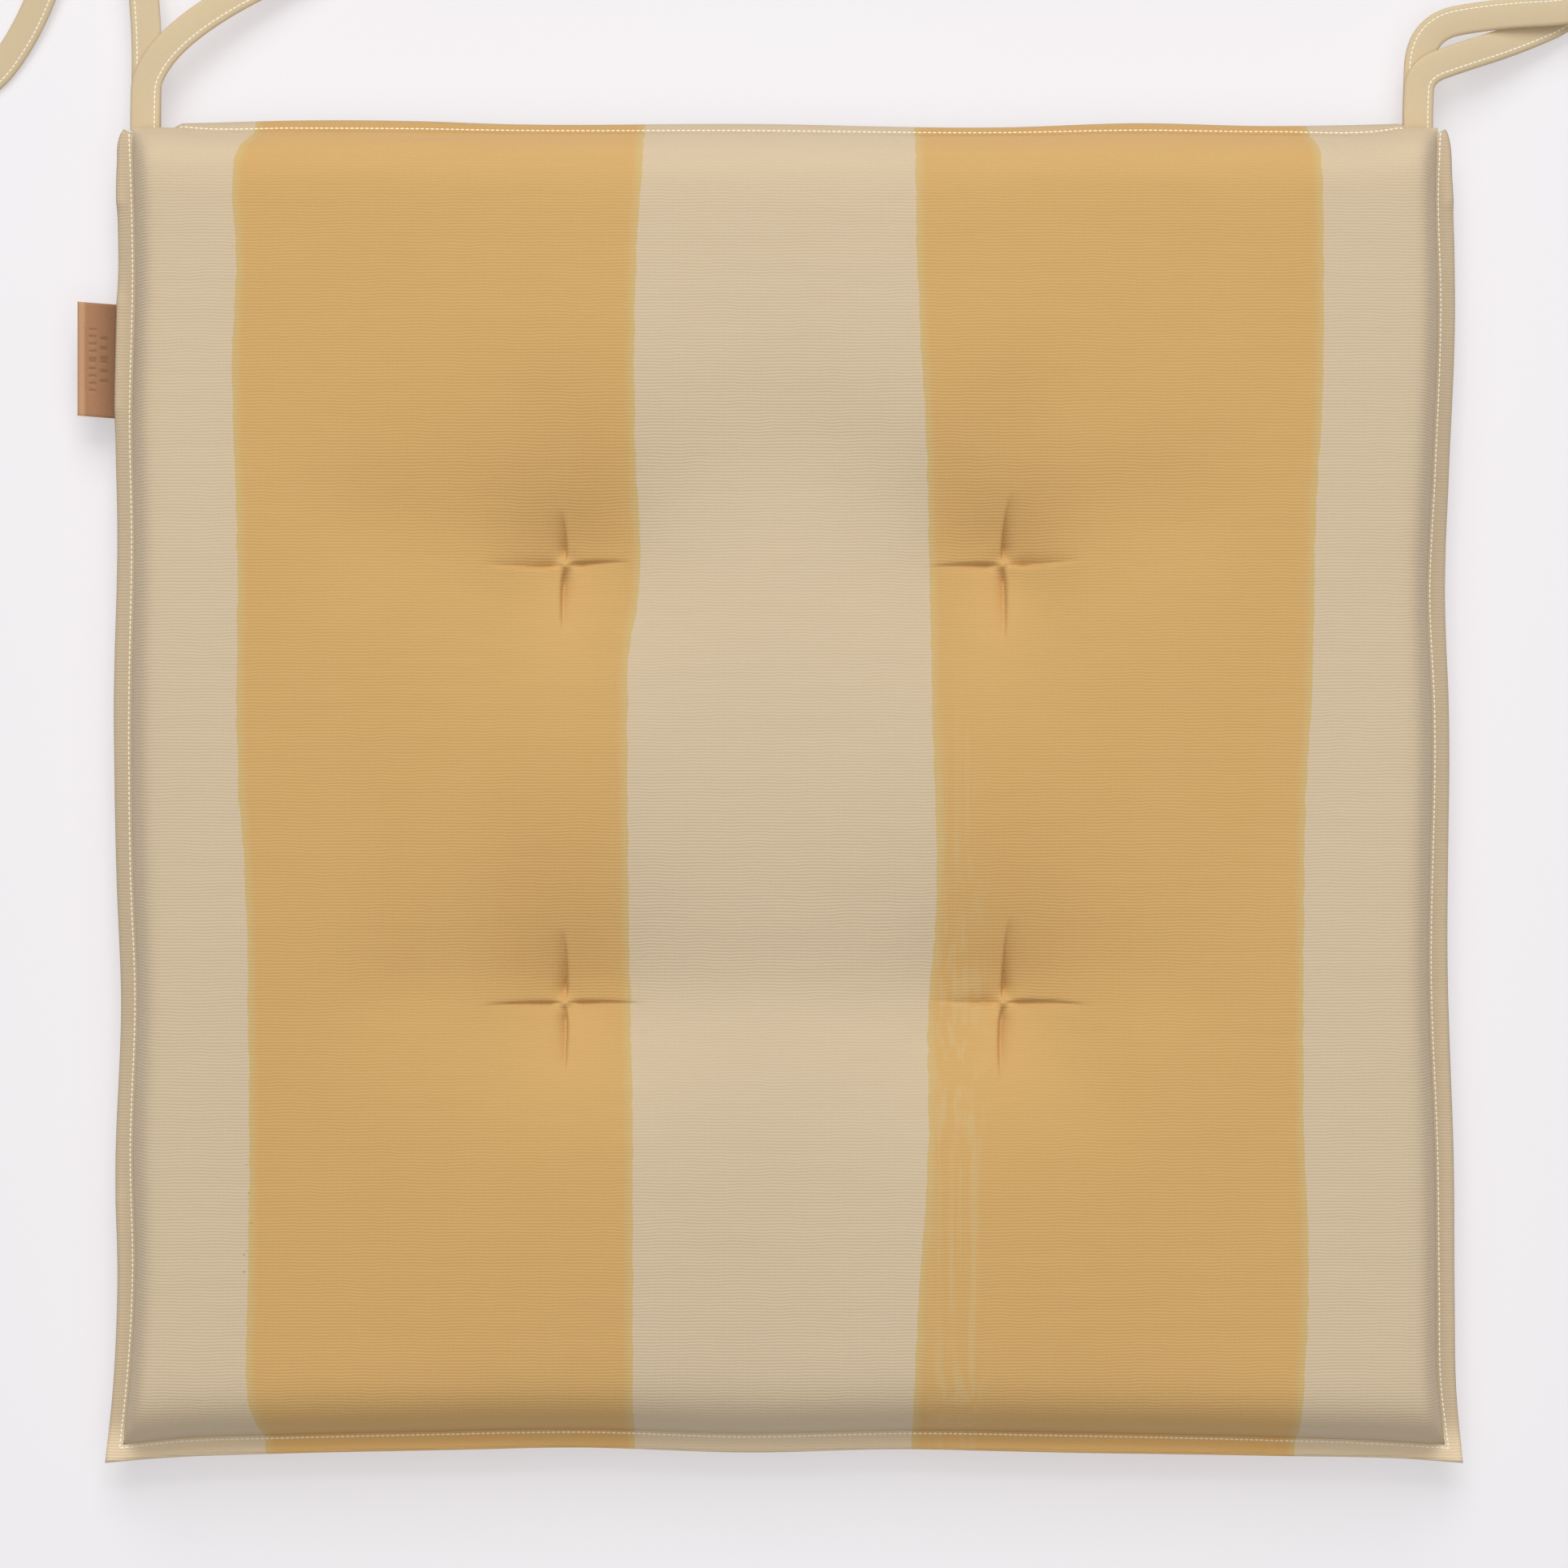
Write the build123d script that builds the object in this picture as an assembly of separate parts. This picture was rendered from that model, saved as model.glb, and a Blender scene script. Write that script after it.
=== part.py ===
from build123d import *
import math
import os

# A square tufted chair seat pad: two canvas panels sewn together round a foam core,
# four tufts through the thickness, a leather label on the left edge and a folded tie
# tape sewn under each back corner. Millimetres. The origin is the centre of the flat
# underside, +Z is up, +Y points to the back edge with the ties, +X to the right.

# Driving dimensions
PAD_SIZE = 400.0
FLANGE_WIDTH = 5.0
PAD_HEIGHT = 40.0
SEAM_HEIGHT = 14.0
CLOTH = 0.8
LAYER_GAP = 0.3
THREAD = 0.5
THREAD_HEIGHT = 0.3

BODY_HALF = PAD_SIZE / 2 - FLANGE_WIDTH - THREAD
BODY_CORNER_RADIUS = 6.0
BACK_CORNER_RADIUS = 7.0
TOP_SHOULDER = 60.0
BOTTOM_SHOULDER = 25.0
SHOULDER_STEPS = 3

TUFT_PITCH = 130.0
TUFT_FLOOR = 22.0
TUFT_FLOOR_RADIUS = 3.0
TUFT_MOUTH_RADIUS = 24.0
TUFT_BAR_LENGTH = 3.6
KNOT_RADIUS = 1.1
RECESS_DEPTH = 3.0
RECESS_FLOOR_RADIUS = 2.5
RECESS_MOUTH_RADIUS = 10.0
TUFT_THREAD = 0.9
NEEDLE_HOLE = 1.5

FOAM_SIZE = 356.0
FOAM_BOTTOM = 6.0
FOAM_THICKNESS = 24.0
FOAM_CORNER_RADIUS = 12.0
WADDING_AT_TUFT = 5.0

TIE_WIDTH = 9.0
TIE_THICKNESS = 1.6
TIE_STACK_GAP = 0.4
TIE_HINGE_Y = PAD_SIZE / 2 + 2.6
TIE_LEFT_X = -191.0
TIE_RIGHT_X = 189.6
TIE_STITCH_OFFSET = 2.8

LABEL_LENGTH = 34.0
LABEL_REACH = 11.3
LABEL_LAYER = 0.9
LABEL_SLIT = 0.2
LABEL_CENTRE_Y = 126.0
LABEL_HINGE_CLEARANCE = 0.4

# Heights that follow from them
FLANGE_UNDERSIDE = SEAM_HEIGHT - CLOTH
UPPER_TIE = FLANGE_UNDERSIDE - TIE_THICKNESS / 2
LOWER_TIE = UPPER_TIE - TIE_THICKNESS - TIE_STACK_GAP
TIE_HINGE_Z = (UPPER_TIE + LOWER_TIE) / 2
TIE_ON_FLOOR = TIE_THICKNESS / 2
LABEL_THICKNESS = 2 * LABEL_LAYER + LABEL_SLIT
LABEL_HINGE_X = -(PAD_SIZE / 2 + LABEL_HINGE_CLEARANCE + LABEL_THICKNESS / 2)
LABEL_HINGE_Z = FLANGE_UNDERSIDE - LABEL_THICKNESS / 2
TUFT_PLACES = {
    "front_left": (-TUFT_PITCH / 2, -TUFT_PITCH / 2),
    "front_right": (TUFT_PITCH / 2, -TUFT_PITCH / 2),
    "back_left": (-TUFT_PITCH / 2, TUFT_PITCH / 2),
    "back_right": (TUFT_PITCH / 2, TUFT_PITCH / 2),
}

# Each tie's route from its hinge line to its free end. The two tails of a corner leave
# one above the other, drop to the floor and lie there in loose curves.
TIE_ROUTES = {
    "left_tie_inner": [
        (TIE_LEFT_X, TIE_HINGE_Y, UPPER_TIE),
        (-190.7, 212, UPPER_TIE),
        (-181.5, 224, UPPER_TIE),
        (-163, 237, 9.5),
        (-138, 249, 5),
        (-103, 255, TIE_ON_FLOOR),
        (-66, 248.5, TIE_ON_FLOOR),
        (-28, 255.5, TIE_ON_FLOOR),
        (10, 249.5, TIE_ON_FLOOR),
        (34, 252, TIE_ON_FLOOR),
    ],
    "left_tie_outer": [
        (TIE_LEFT_X, TIE_HINGE_Y, LOWER_TIE),
        (-190.6, 226, LOWER_TIE),
        (-194, 256, 8.5),
        (-216, 258, 6),
        (-226, 228, 3),
        (-243, 206, TIE_ON_FLOOR),
        (-268, 210, TIE_ON_FLOOR),
        (-271.5, 236, TIE_ON_FLOOR),
        (-255, 256, TIE_ON_FLOOR),
        (-232, 271.5, TIE_ON_FLOOR),
        (-210, 274, TIE_ON_FLOOR),
    ],
    "right_tie_inner": [
        (TIE_RIGHT_X, TIE_HINGE_Y, UPPER_TIE),
        (190.2, 213, UPPER_TIE),
        (203, 217.5, UPPER_TIE),
        (219, 223, 8),
        (239, 232, 4),
        (249, 251, 1.5),
        (229, 261, TIE_ON_FLOOR),
        (197, 256, TIE_ON_FLOOR),
        (163, 261, TIE_ON_FLOOR),
        (129, 255, TIE_ON_FLOOR),
        (95, 260, TIE_ON_FLOOR),
    ],
    "right_tie_outer": [
        (TIE_RIGHT_X, TIE_HINGE_Y, LOWER_TIE),
        (190.6, 226.5, LOWER_TIE),
        (213, 230.5, 11.5),
        (240, 232, 9),
        (260.5, 242, 5.5),
        (261, 264, 3),
        (240, 275.5, TIE_ON_FLOOR),
        (207, 271, TIE_ON_FLOOR),
        (172, 276, TIE_ON_FLOOR),
        (132, 271, TIE_ON_FLOOR),
    ],
}
# The single line of stitching on a tie runs along this side, seen from the root
TIE_STITCH_SIDE = {
    "left_tie_inner": 1,
    "left_tie_outer": -1,
    "right_tie_inner": 1,
    "right_tie_outer": -1,
}


def dome(shrink, height, shoulder):
    """Half of the stuffed body, from the seam plane up, smaller by shrink all round."""
    sections = []
    for step in range(SHOULDER_STEPS + 1):
        turn = math.radians(90 * step / SHOULDER_STEPS)
        inset = shoulder * (1 - math.cos(turn))
        rise = (height - shrink) * math.sin(turn)
        side = 2 * (BODY_HALF - shrink - inset)
        radius = BODY_CORNER_RADIUS + inset / 2
        sections.append(Pos(0, 0, rise) * RectangleRounded(side, side, radius))
    return loft(sections)


def top_form(shrink):
    upper = dome(shrink, PAD_HEIGHT - SEAM_HEIGHT, TOP_SHOULDER)
    return Pos(0, 0, SEAM_HEIGHT) * upper - at_tufts(tuft_funnel(shrink))


def bottom_form(shrink):
    lower = mirror(dome(shrink, SEAM_HEIGHT, BOTTOM_SHOULDER), about=Plane.XY)
    return Pos(0, 0, SEAM_HEIGHT) * lower - at_tufts(tuft_recess(shrink))


def at_tufts(shape):
    return [Pos(x, y, 0) * shape for x, y in TUFT_PLACES.values()]


def cone_between(low_radius, low, high_radius, high):
    cone = Cone(low_radius, high_radius, high - low, align=(Align.CENTER, Align.CENTER, Align.MIN))
    return Pos(0, 0, low) * cone


def tuft_funnel(shrink):
    """The space above a tuft, down to its flat floor."""
    return cone_between(
        TUFT_FLOOR_RADIUS + shrink, TUFT_FLOOR - shrink, TUFT_MOUTH_RADIUS + shrink, PAD_HEIGHT + 1
    )


def tuft_recess(shrink):
    """The shallow hollow that the tuft's thread pulls into the underside."""
    return cone_between(
        RECESS_MOUTH_RADIUS + shrink, -1, RECESS_FLOOR_RADIUS + shrink, RECESS_DEPTH + shrink
    )


def needle_holes():
    return at_tufts(Pos(0, 0, PAD_HEIGHT / 2) * Cylinder(NEEDLE_HOLE / 2, PAD_HEIGHT))


def flange(low):
    """One cloth layer of the edge round the stuffed body, with rounded back corners."""
    outline = Rectangle(PAD_SIZE, PAD_SIZE)
    back_corners = outline.vertices().sort_by(Axis.Y)[-2:]
    outline = fillet(back_corners, BACK_CORNER_RADIUS)
    inner_side = 2 * (BODY_HALF - CLOTH)
    opening = RectangleRounded(inner_side, inner_side, BODY_CORNER_RADIUS)
    return Pos(0, 0, low) * extrude(outline - opening, CLOTH)


def top_panel():
    shell = top_form(0) - top_form(CLOTH)
    return shell + flange(SEAM_HEIGHT) - needle_holes()


def bottom_panel():
    shell = bottom_form(0) - bottom_form(CLOTH)
    return shell + flange(FLANGE_UNDERSIDE) - needle_holes()


def foam_block(grow):
    side = FOAM_SIZE + 2 * grow
    block = extrude(RectangleRounded(side, side, FOAM_CORNER_RADIUS + grow), FOAM_THICKNESS + 2 * grow)
    funnel = tuft_funnel(CLOTH + WADDING_AT_TUFT - grow)
    return Pos(0, 0, FOAM_BOTTOM - grow) * block - at_tufts(funnel)


def foam_core():
    return foam_block(0) - needle_holes()


def top_wadding():
    return top_form(CLOTH + LAYER_GAP) - foam_block(LAYER_GAP) - needle_holes()


def bottom_wadding():
    return bottom_form(CLOTH + LAYER_GAP) - foam_block(LAYER_GAP) - needle_holes()


def edge_thread(low):
    """The thread of the seam line round the whole edge, on one face of the flange."""
    outer = 2 * (BODY_HALF + THREAD + THREAD / 2)
    inner = outer - 2 * THREAD
    ring = RectangleRounded(outer, outer, BODY_CORNER_RADIUS) - RectangleRounded(
        inner, inner, BODY_CORNER_RADIUS - THREAD
    )
    return Pos(0, 0, low) * extrude(ring, THREAD_HEIGHT)


def tuft_thread(place):
    """A doubled thread from a bar stitch in the tuft down to a knot under the pad."""
    knot_height = RECESS_DEPTH - KNOT_RADIUS
    bar_middle = TUFT_FLOOR + TUFT_THREAD / 2
    strand = extrude(Circle(TUFT_THREAD / 2), bar_middle - knot_height)
    bar = Box(TUFT_BAR_LENGTH, TUFT_THREAD, TUFT_THREAD)
    knot = Sphere(KNOT_RADIUS)
    x, y = TUFT_PLACES[place]
    return Pos(x, y, knot_height) * (strand + knot) + Pos(x, y, bar_middle) * bar


def tie_fold(x):
    """The folded middle of a tie tape, sewn flat under the flange at a back corner."""
    front = BODY_HALF + THREAD - 0.1
    length = PAD_SIZE / 2 - front
    stack = Box(TIE_WIDTH, length, 2 * TIE_THICKNESS + TIE_STACK_GAP)
    slit = Pos(0, TIE_THICKNESS / 2, 0) * Box(TIE_WIDTH, length - TIE_THICKNESS, TIE_STACK_GAP)
    return Pos(x, front + length / 2, TIE_HINGE_Z) * (stack - slit)


def arc_radii(points):
    """The radius at each corner of a route: as large as the two runs beside it allow."""
    radii = []
    for before, corner, after in zip(points, points[1:], points[2:]):
        run_in = Vector(*corner) - Vector(*before)
        run_out = Vector(*after) - Vector(*corner)
        turn = math.radians(run_in.get_angle(run_out))
        radii.append(0.45 * min(run_in.length, run_out.length) / math.tan(turn / 2))
    return radii


def along_route(name, width, thickness, sideways, upwards):
    """A flat strip swept along a tie's route with its wide face level, and the route's length."""
    points = TIE_ROUTES[name]
    route = Wire(FilletPolyline(*points, radius=arc_radii(points)).edges())
    guide = Wire([edge.moved(Location((0, 0, TIE_WIDTH))) for edge in route.edges()])
    heading = route.tangent_at(0)
    start = Plane(route.position_at(0), x_dir=heading.cross(Vector(0, 0, 1)), z_dir=-heading)
    section = start * Pos(sideways, upwards) * Rectangle(width, thickness)
    return sweep(section, path=route, binormal=guide), route.length


def tie(name):
    strip, length = along_route(name, TIE_WIDTH, TIE_THICKNESS, 0, 0)
    radii = ", ".join(f"{radius:.0f}" for radius in arc_radii(TIE_ROUTES[name]))
    expected = TIE_WIDTH * TIE_THICKNESS * length
    print(f"{name}: length {length:.1f}, volume {strip.volume:.0f} of {expected:.0f}, arcs {radii}")
    return strip


def tie_stitch(name):
    """The line of thread that closes a tie's folded edges, on its upper face."""
    sideways = TIE_STITCH_SIDE[name] * TIE_STITCH_OFFSET
    upwards = (TIE_THICKNESS + THREAD_HEIGHT) / 2
    return along_route(name, THREAD, THREAD_HEIGHT, sideways, upwards)[0]


def label_strip(length, round_end):
    """A leather strip folded in two at its outer end, its open end at x = 0."""
    outline = Pos(-length / 2, 0, 0) * Box(length, LABEL_LENGTH, LABEL_THICKNESS)
    fold = Pos(-length, 0, 0) * Rot(90, 0, 0) * Cylinder(LABEL_THICKNESS / 2, LABEL_LENGTH)
    strip = outline + fold
    if round_end:
        strip = strip + Rot(90, 0, 0) * Cylinder(LABEL_THICKNESS / 2, LABEL_LENGTH)
    slit_length = length + LABEL_THICKNESS / 2
    slit = Pos(-slit_length / 2 + LABEL_THICKNESS / 2, 0, 0) * Box(slit_length, LABEL_LENGTH, LABEL_SLIT)
    return strip - slit


def label():
    """The part of the label outside the flange, which bends up and down at its root."""
    length = LABEL_REACH + PAD_SIZE / 2 + LABEL_HINGE_X - LABEL_THICKNESS / 2
    return Pos(LABEL_HINGE_X, LABEL_CENTRE_Y, LABEL_HINGE_Z) * label_strip(length, True)


def label_root(side):
    """One leaf of the folded label's open end, sewn flat under the flange: side 1 is the upper leaf."""
    inner = -(BODY_HALF + THREAD - 0.1)
    length = PAD_SIZE / 2 + inner
    lift = side * (LABEL_LAYER + LABEL_SLIT) / 2
    leaf = Box(length, LABEL_LENGTH, LABEL_LAYER)
    return Pos(inner - length / 2, LABEL_CENTRE_Y, LABEL_HINGE_Z + lift) * leaf


def parts():
    shapes = {
        "top_panel": top_panel(),
        "bottom_panel": bottom_panel(),
        "foam_core": foam_core(),
        "top_wadding": top_wadding(),
        "bottom_wadding": bottom_wadding(),
        "edge_topstitch": edge_thread(SEAM_HEIGHT + CLOTH),
        "edge_bobbin_thread": edge_thread(FLANGE_UNDERSIDE - THREAD_HEIGHT),
        "left_tie_fold": tie_fold(TIE_LEFT_X),
        "right_tie_fold": tie_fold(TIE_RIGHT_X),
        "label": label(),
        "label_root_upper": label_root(1),
        "label_root_lower": label_root(-1),
    }
    for place in TUFT_PLACES:
        shapes[f"tuft_thread_{place}"] = tuft_thread(place)
    for name in TIE_ROUTES:
        shapes[name] = tie(name)
        shapes[f"{name}_stitch"] = tie_stitch(name)
    return shapes


os.makedirs("parts", exist_ok=True)
for name, shape in parts().items():
    export_step(shape, f"parts/{name}.step")
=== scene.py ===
"""The looks of a tufted, striped canvas chair seat pad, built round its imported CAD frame."""
import math

import bpy
import numpy as np
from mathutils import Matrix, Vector


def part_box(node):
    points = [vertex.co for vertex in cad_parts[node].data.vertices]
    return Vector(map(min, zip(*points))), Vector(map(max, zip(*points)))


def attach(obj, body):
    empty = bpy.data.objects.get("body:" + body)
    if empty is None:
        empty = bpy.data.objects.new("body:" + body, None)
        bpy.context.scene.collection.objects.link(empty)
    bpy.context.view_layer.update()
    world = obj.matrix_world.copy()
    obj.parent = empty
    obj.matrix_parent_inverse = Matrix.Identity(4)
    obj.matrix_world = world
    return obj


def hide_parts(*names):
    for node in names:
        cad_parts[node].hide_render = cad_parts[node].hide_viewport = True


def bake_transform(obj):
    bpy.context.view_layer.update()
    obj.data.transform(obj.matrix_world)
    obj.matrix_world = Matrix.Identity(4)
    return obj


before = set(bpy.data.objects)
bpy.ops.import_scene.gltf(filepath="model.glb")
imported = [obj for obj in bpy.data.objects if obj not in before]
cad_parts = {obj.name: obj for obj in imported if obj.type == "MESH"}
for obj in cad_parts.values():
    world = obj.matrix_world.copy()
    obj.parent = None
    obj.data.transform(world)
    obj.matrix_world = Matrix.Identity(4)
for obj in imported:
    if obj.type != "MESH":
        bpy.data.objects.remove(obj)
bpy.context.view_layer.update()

MM = 0.001
CLOTH = 0.8 * MM
SEAM_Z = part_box("edge_bobbin_thread")[1][2] + CLOTH
CROWN_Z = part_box("top_panel")[1][2]
TUFTS = [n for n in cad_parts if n.startswith("tuft_thread")]

# ---------------------------------------------------------------------------------------
# The edge of the pad. Each side has its own soft wave: distance along the side, distance
# of the seam from the pad's centre line and distance of the flange's outer edge, in mm.
LEFT_SIDE = [
    (-198.4, 198.4, 202.4), (-180, 196.4, 200.3), (-146, 194.5, 198.6), (-112, 195.2, 199.3),
    (-62, 193.8, 197.8), (-28, 195.1, 199.1), (23, 195.6, 199.9), (74, 194.8, 198.9),
    (108, 195.4, 199.5), (155, 194.5, 198.6), (184, 195.2, 198.7), (192, 195.5, 198.1),
    (196.2, 195.6, 196.3),
]
RIGHT_SIDE = [
    (-198.4, 198.4, 202.4), (-180, 196.2, 200.5), (-150, 195.6, 199.8), (-112, 195.2, 199.5),
    (-62, 193.3, 197.8), (23, 194.2, 198.3), (57, 192.8, 197.1), (91, 194.3, 198.3),
    (142, 196.1, 200.2), (180, 195.4, 199.0), (192, 195.9, 198.1), (196.2, 196.1, 196.8),
]
FRONT_SIDE = [
    (-198.4, 198.4, 202.4), (-186, 196.8, 201.2), (-147, 195.2, 199.5), (-108, 194.3, 198.6),
    (-60, 193.5, 197.8), (-11, 194.9, 199.3), (35, 193.9, 198.3), (86, 194.6, 199.2),
    (144, 195.9, 200.2), (183, 197.3, 201.2), (198.4, 198.4, 202.4),
]
BACK_SIDE = [
    (-195.6, 196.7, 197.0), (-184, 196.8, 197.1), (-176, 195.9, 197.2), (-147, 195.8, 197.9),
    (-108, 195.6, 197.7), (-85, 195.2, 196.9), (-11, 195.1, 196.9), (66, 194.5, 195.9),
    (105, 195.2, 197.1), (144, 194.8, 196.3), (182, 195.6, 196.9), (188, 196.8, 197.1), (196.1, 196.7, 197.0),
]
STITCH_TO_COVER = 0.7 * MM
FLANGE_LENGTH = 4.6 * MM
FLANGE_THICKNESS = 1.6 * MM
FOLDED_FLANGE = 1.4 * MM
SIDE_SAMPLES = 270


def smooth_through(points, at):
    """A smooth curve through listed points, read at the positions in at."""
    xs, ys = np.array(points, float).T
    slopes = np.gradient(ys, xs)
    at = np.clip(at, xs[0], xs[-1])
    i = np.clip(np.searchsorted(xs, at, side="right") - 1, 0, len(xs) - 2)
    step = xs[i + 1] - xs[i]
    t = (at - xs[i]) / step
    a = (1 + 2 * t) * (1 - t) ** 2 * ys[i] + t * t * (3 - 2 * t) * ys[i + 1]
    return a + step * (t * (1 - t) ** 2 * slopes[i] - t * t * (1 - t) * slopes[i + 1])


def side_line(side, which, count):
    """Distance along one side and out from the centre, in metres. which is 1 for the seam, 2 for the rim."""
    along = np.linspace(side[0][0], side[-1][0], count)
    out = smooth_through([(p[0], p[which]) for p in side], along)
    if which == 2:
        reach = np.array([side[0][2], side[-1][2]]) / np.array([side[0][1], side[-1][1]])
        ends = np.linspace(side[0][0], side[-1][0], count)
        along = along * np.interp(ends, [side[0][0], side[-1][0]], reach)
    return along * MM, out * MM


def edge_loop(which, count):
    """The pad's edge as a closed ring of x, y points, anticlockwise from the front left corner."""
    front_x, front_out = side_line(FRONT_SIDE, which, count)
    right_y, right_out = side_line(RIGHT_SIDE, which, count)
    back_x, back_out = side_line(BACK_SIDE, which, count)
    left_y, left_out = side_line(LEFT_SIDE, which, count)
    front = np.column_stack([front_x, -front_out])[:-1]
    right = np.column_stack([right_out, right_y])[:-1]
    back = np.column_stack([back_x, back_out])[::-1][:-1]
    left = np.column_stack([-left_out, left_y])[::-1][:-1]
    return np.concatenate([front, right, back, left])


def patch(u, v):
    """Plan positions inside the seam for a grid of u (left to right) and v (front to back), 0 to 1."""
    lines = {}
    for name, side in (("f", FRONT_SIDE), ("b", BACK_SIDE), ("l", LEFT_SIDE), ("r", RIGHT_SIDE)):
        share = u if name in "fb" else v
        along = side[0][0] + (side[-1][0] - side[0][0]) * share
        out = smooth_through([(p[0], p[1]) for p in side], along) - STITCH_TO_COVER / MM
        lines[name] = (along * MM, out * MM)
    front = np.column_stack([lines["f"][0], -lines["f"][1]])
    back = np.column_stack([lines["b"][0], lines["b"][1]])
    left = np.column_stack([-lines["l"][1], lines["l"][0]])
    right = np.column_stack([lines["r"][1], lines["r"][0]])
    for edge, across in ((left, 0), (right, -1)):
        edge[:, 1] = np.interp(v, [0, 1], [front[across, 1], back[across, 1]])
    for edge, across in ((front, 0), (back, -1)):
        edge[:, 0] = np.interp(u, [0, 1], [left[across, 0], right[across, 0]])
    u_, v_ = u[:, None, None], v[None, :, None]
    plan = (1 - v_) * front[:, None] + v_ * back[:, None] + (1 - u_) * left[None] + u_ * right[None]
    plan = plan - (1 - u_) * (1 - v_) * front[0] - u_ * (1 - v_) * front[-1]
    return plan - (1 - u_) * v_ * back[0] - u_ * v_ * back[-1]


# ---------------------------------------------------------------------------------------
# Small mesh helpers


def mesh_object(name, verts, faces, smooth=True):
    mesh = bpy.data.meshes.new(name)
    mesh.from_pydata([tuple(map(float, p)) for p in verts], [], [tuple(map(int, f)) for f in faces])
    mesh.update()
    mesh.polygons.foreach_set("use_smooth", [smooth] * len(mesh.polygons))
    obj = bpy.data.objects.new(name, mesh)
    bpy.context.scene.collection.objects.link(obj)
    return obj


def grid_faces(rows, columns, closed=False, flip=False):
    """Quads between rows of points; closed joins the last column back to the first."""
    r = np.arange(rows - 1)[:, None]
    c = np.arange(columns if closed else columns - 1)[None, :]
    d = (c + 1) % columns
    quads = np.stack([r * columns + c, (r + 1) * columns + c, (r + 1) * columns + d, r * columns + d], -1)
    quads = quads.reshape(-1, 4)
    return quads[:, ::-1] if flip else quads


def rim_faces(rows, columns):
    """Quads that join the rims of two grids of one size, the second numbered after the first."""
    count = rows * columns
    index = np.arange(count).reshape(rows, columns)
    rim = np.concatenate([index[0, :-1], index[:-1, -1], index[-1, :0:-1], index[:0:-1, 0]])
    return [(a, b, b + count, a + count) for a, b in zip(rim, np.roll(rim, -1))]


def dress(obj, material, body="pad"):
    """Gives a piece its material, and the body that it rides on."""
    obj.data.materials.clear()
    obj.data.materials.append(material)
    if body:
        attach(obj, body)
    return obj


# A stitch along its length: place as a share of the stitch's length, and share of its full width
STITCH_STATIONS = [(-0.42, 0.3), (-0.28, 0.9), (0.28, 0.9), (0.42, 0.3)]
STITCH_SIDES = 6
STITCH_END_SINK = 0.4
TINY = 1e-12


def read_along(distance, values, at):
    """The points or directions in values, read at distances along their row."""
    return np.column_stack([np.interp(at, distance, values[:, k]) for k in range(3)])


def stitch_row(name, points, ups, length, width, height):
    """One mesh of single stitches, each a small rounded bar lying along the row of points."""
    steps = np.linalg.norm(np.diff(points, axis=0), axis=1)
    distance = np.concatenate([[0], np.cumsum(steps)])
    count = max(2, round(distance[-1] / length))
    middles = (np.arange(count) + 0.5) * distance[-1] / count
    centre = read_along(distance, points, middles)
    along = read_along(distance, points, middles + length / 3)
    along = along - read_along(distance, points, middles - length / 3)
    along /= np.linalg.norm(along, axis=1)[:, None] + TINY
    side = np.cross(along, read_along(distance, ups, middles))
    side /= np.linalg.norm(side, axis=1)[:, None] + TINY
    up = np.cross(side, along)
    ring = np.linspace(0, 2 * np.pi, STITCH_SIDES + 1)[:-1]
    verts, faces = [], []
    for place, shape in STITCH_STATIONS:
        sink = (1 - shape) * height * STITCH_END_SINK
        for angle in ring:
            verts.append(
                centre + along * place * length
                + side * (math.cos(angle) * shape * width / 2)
                + up * (math.sin(angle) * shape * height / 2 - sink)
            )
    verts = np.stack(verts, 1)
    per = verts.shape[1]
    one = [tuple(q) for q in grid_faces(len(STITCH_STATIONS), len(ring), closed=True)]
    one += [tuple(range(len(ring)))[::-1], tuple(range(per - len(ring), per))]
    for k in range(count):
        faces += [tuple(i + k * per for i in quad) for quad in one]
    return mesh_object(name, verts.reshape(-1, 3), faces)


# ---------------------------------------------------------------------------------------
# Materials


def new_material(name, roughness, sheen=0.0, sheen_roughness=0.5):
    material = bpy.data.materials.new(name)
    material.use_nodes = True
    shader = material.node_tree.nodes["Principled BSDF"]
    shader.inputs["Roughness"].default_value = roughness
    shader.inputs["Specular IOR Level"].default_value = 0.2
    shader.inputs["Sheen Weight"].default_value = sheen
    shader.inputs["Sheen Roughness"].default_value = sheen_roughness
    return material


def add(material, kind, **settings):
    node = material.node_tree.nodes.new(kind)
    for key, value in settings.items():
        setattr(node, key, value)
    return node


def wire(material, target, source):
    """target is (node, socket); source is a node's first output, an output socket or a value."""
    socket = target[0].inputs[target[1]]
    if isinstance(source, (int, float, tuple, list)):
        socket.default_value = source
    else:
        output = source if isinstance(source, bpy.types.NodeSocket) else source.outputs[0]
        material.node_tree.links.new(output, socket)


def calc(material, operation, a, b=0.0, c=0.0, clamp=False):
    node = add(material, "ShaderNodeMath", operation=operation, use_clamp=clamp)
    for k, value in enumerate((a, b, c)):
        wire(material, (node, k), value)
    return node


def mix(material, share, a, b, blend="MIX"):
    node = add(material, "ShaderNodeMix", data_type="RGBA", blend_type=blend)
    wire(material, (node, 0), share)
    wire(material, (node, 6), a)
    wire(material, (node, 7), b)
    return node.outputs[2]


def noise(material, vector, scale, detail=2.0, roughness=0.5, stretch=(1, 1, 1)):
    mapping = add(material, "ShaderNodeMapping")
    mapping.inputs["Scale"].default_value = stretch
    wire(material, (mapping, 0), vector)
    node = add(material, "ShaderNodeTexNoise")
    wire(material, (node, "Vector"), mapping)
    node.inputs["Scale"].default_value = scale
    node.inputs["Detail"].default_value = detail
    node.inputs["Roughness"].default_value = roughness
    return node.outputs["Fac"]


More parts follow.
